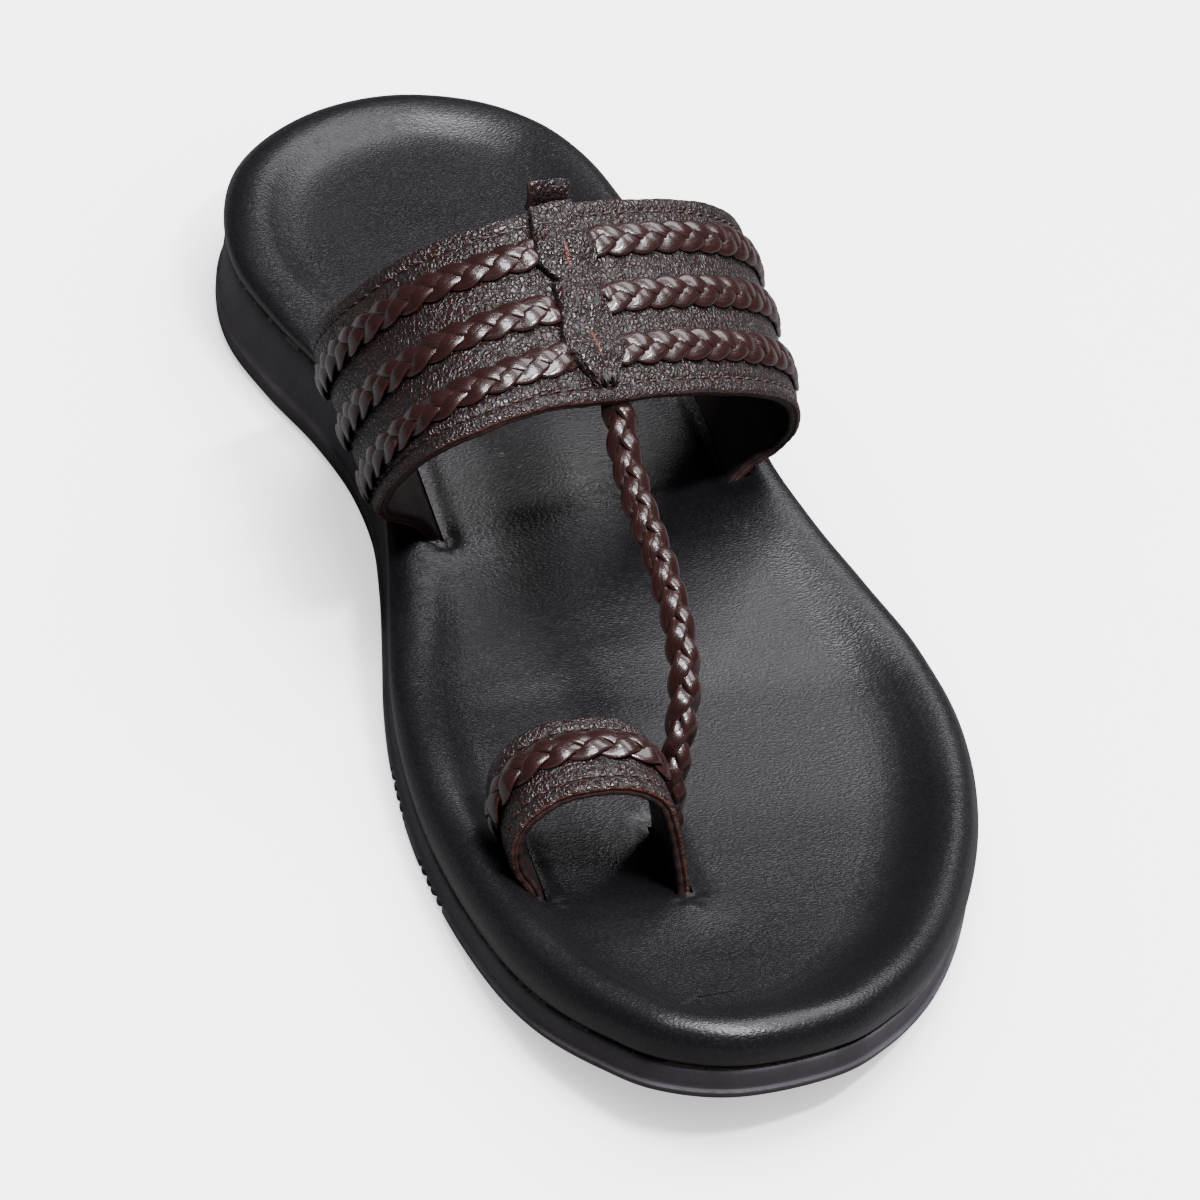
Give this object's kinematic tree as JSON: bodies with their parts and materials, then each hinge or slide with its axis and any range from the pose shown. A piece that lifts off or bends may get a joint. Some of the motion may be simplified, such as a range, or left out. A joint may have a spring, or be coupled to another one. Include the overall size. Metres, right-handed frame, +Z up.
{
  "type": "kolhapuri sandal",
  "caption": "Flat leather sandal for the left foot, with a braided instep strap, a braided cord to the toe post and a big-toe loop.",
  "frame": {"origin": "middle of the shoe's outline box, at the floor that its sole stands on", "axes": "+Y towards the heel, -Y towards the toe, +X towards the outer side of this left shoe, +Z up"},
  "size_m": [0.1064, 0.2756, 0.0822],
  "materials": {
    "rubber": "matt dark grey moulded rubber",
    "footbed": "black fine-grain leatherette over foam, satin",
    "strap": "dark brown coarse goat grain, glossy, with raw red-brown cut edges",
    "braid": "smooth glossy chocolate leather strips"
  },
  "bodies": {
    "root": {"outsole": "rubber", "footbed": "footbed", "upper": "strap", "braid_rear_inner": "braid", "braid_rear_outer": "braid", "braid_mid_inner": "braid", "braid_mid_outer": "braid", "braid_front_inner": "braid", "braid_front_outer": "braid", "braid_toe": "braid", "spine_upper": "strap", "spine_lower": "strap", "ear_tab": "strap"}
  },
  "joints": []
}
